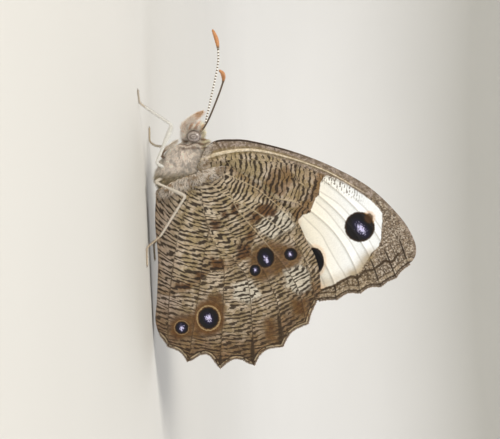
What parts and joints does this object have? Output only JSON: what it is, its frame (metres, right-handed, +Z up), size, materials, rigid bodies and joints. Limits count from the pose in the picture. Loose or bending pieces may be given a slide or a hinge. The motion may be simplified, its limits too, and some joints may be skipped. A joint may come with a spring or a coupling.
{
  "type": "common wood-nymph butterfly",
  "caption": "Brown butterfly at rest with its wings closed over its back, a pale patch and round eyespots on the wings, standing on its feet.",
  "frame": {"origin": "middle of the underside of the model's bounding box, on the floor that its feet stand on", "axes": "+X from head to tail, +Y to the animal's right side, +Z up from the floor"},
  "size_m": [0.048, 0.0184, 0.0375],
  "materials": {
    "wing_scales": "matt overlapping scales, brown with dark wavy strokes, a cream patch and dark eyespots",
    "coat": "soft greyish brown hair and scales",
    "compound_eye": "dark faceted eye, softly glossy",
    "palp_brush": "brown bristly hair, orange-brown at the tips",
    "antenna_shaft": "dark shaft ringed with pale dots, orange-brown club",
    "leg_chitin": "cream and tan scaled legs"
  },
  "bodies": {
    "root": {"head": "coat", "thorax": "coat", "abdomen": "coat", "eye_left": "compound_eye", "eye_right": "compound_eye", "palp_left": "palp_brush", "palp_right": "palp_brush", "antenna_left": "antenna_shaft", "antenna_right": "antenna_shaft", "forewing_left": "wing_scales", "forewing_right": "wing_scales", "hindwing_left": "wing_scales", "hindwing_right": "wing_scales", "foreleg_left": "leg_chitin", "foreleg_right": "leg_chitin", "midleg_left_femur": "leg_chitin", "midleg_left_tibia": "leg_chitin", "midleg_left_tarsus": "leg_chitin", "midleg_right_femur": "leg_chitin", "midleg_right_tibia": "leg_chitin", "midleg_right_tarsus": "leg_chitin", "hindleg_left_femur": "leg_chitin", "hindleg_left_tibia": "leg_chitin", "hindleg_left_tarsus": "leg_chitin", "hindleg_right_femur": "leg_chitin", "hindleg_right_tibia": "leg_chitin", "hindleg_right_tarsus": "leg_chitin"}
  },
  "joints": []
}
